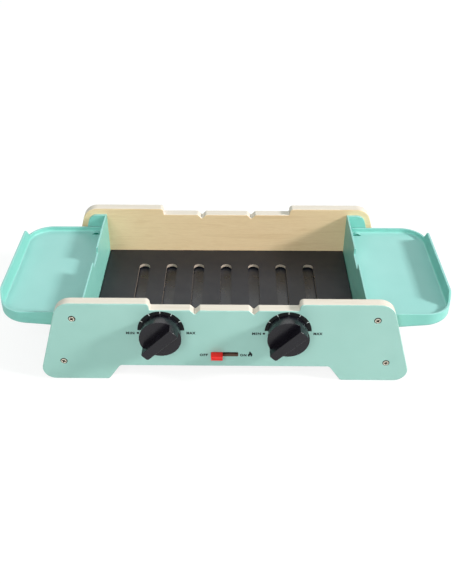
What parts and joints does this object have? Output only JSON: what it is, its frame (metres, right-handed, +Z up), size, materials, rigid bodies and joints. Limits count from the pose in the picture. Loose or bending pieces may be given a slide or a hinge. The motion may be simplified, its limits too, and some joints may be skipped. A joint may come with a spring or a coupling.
{
  "type": "toy barbecue grill",
  "caption": "Toy table-top barbecue grill: wooden side panels, slotted lift-off plate, fold-out end trays, turning knobs and a slide switch.",
  "frame": {"origin": "on the table, under the middle of the whole grill with its knobs and open trays", "axes": "+X to the right when looking at the front panel with the knobs, +Y from the front panel to the rear panel, +Z up"},
  "size_m": [0.4256, 0.2066, 0.089],
  "materials": {
    "mint_wood": "satin",
    "natural_wood": "satin",
    "black_wood": "matte",
    "teal_plastic": "satin",
    "dark_plastic": "matte",
    "grey_plastic": "gloss",
    "red_plastic": "gloss",
    "pale_plastic": "matte",
    "lamp_plastic": "gloss",
    "board_laminate": "gloss",
    "screw_brass": "satin",
    "plated_steel": "satin",
    "cell_can": "gloss"
  },
  "bodies": {
    "frame_body": {"front_panel": "mint_wood", "rear_panel": "mint_wood", "front_panel_screws": "screw_brass", "rear_panel_screws": "screw_brass", "left_end_wall": "teal_plastic", "right_end_wall": "teal_plastic", "ember_tray": "dark_plastic", "ember_tray_screws": "plated_steel", "left_knob_bush": "pale_plastic", "right_knob_bush": "pale_plastic", "slide_switch": "plated_steel", "switch_board": "board_laminate", "switch_board_screws": "plated_steel", "sound_box": "dark_plastic", "sound_box_screws": "plated_steel", "battery_door": "dark_plastic", "battery_door_screw": "plated_steel", "batteries": "cell_can", "battery_springs": "plated_steel", "battery_contacts": "plated_steel", "circuit_board": "board_laminate", "circuit_board_screws": "plated_steel", "speaker": "dark_plastic", "ember_lights": "lamp_plastic"},
    "grill_plate_body": {"grill_plate": "black_wood"},
    "left_tray_body": {"left_tray": "teal_plastic"},
    "right_tray_body": {"right_tray": "teal_plastic"},
    "left_knob_body": {"left_knob": "grey_plastic", "left_knob_washer": "plated_steel", "left_knob_screw": "plated_steel"},
    "right_knob_body": {"right_knob": "grey_plastic", "right_knob_washer": "plated_steel", "right_knob_screw": "plated_steel"},
    "switch_body": {"switch_slider": "red_plastic", "switch_lever": "dark_plastic"}
  },
  "joints": [
    {"name": "left_tray_fold", "type": "hinge", "parent": "frame_body", "child": "left_tray_body", "pos_m": [-0.141, 0.01175, 0.061], "axis": [0, 1, 0], "range_deg": [0, 91]},
    {"name": "right_tray_fold", "type": "hinge", "parent": "frame_body", "child": "right_tray_body", "pos_m": [0.141, 0.01175, 0.061], "axis": [0, -1, 0], "range_deg": [0, 91]},
    {"name": "left_knob_turn", "type": "hinge", "parent": "frame_body", "child": "left_knob_body", "pos_m": [-0.0579, -0.07985, 0.0601], "axis": [0, 1, 0], "continuous": true},
    {"name": "right_knob_turn", "type": "hinge", "parent": "frame_body", "child": "right_knob_body", "pos_m": [0.0579, -0.07985, 0.0601], "axis": [0, 1, 0], "continuous": true},
    {"name": "switch_slide", "type": "slide", "parent": "frame_body", "child": "switch_body", "axis": [1, 0, 0], "range_m": [0, 0.0142]},
    {"name": "grill_plate_lift", "type": "slide", "parent": "frame_body", "child": "grill_plate_body", "axis": [0, 0, 1], "range_m": [0, 0.06]}
  ]
}
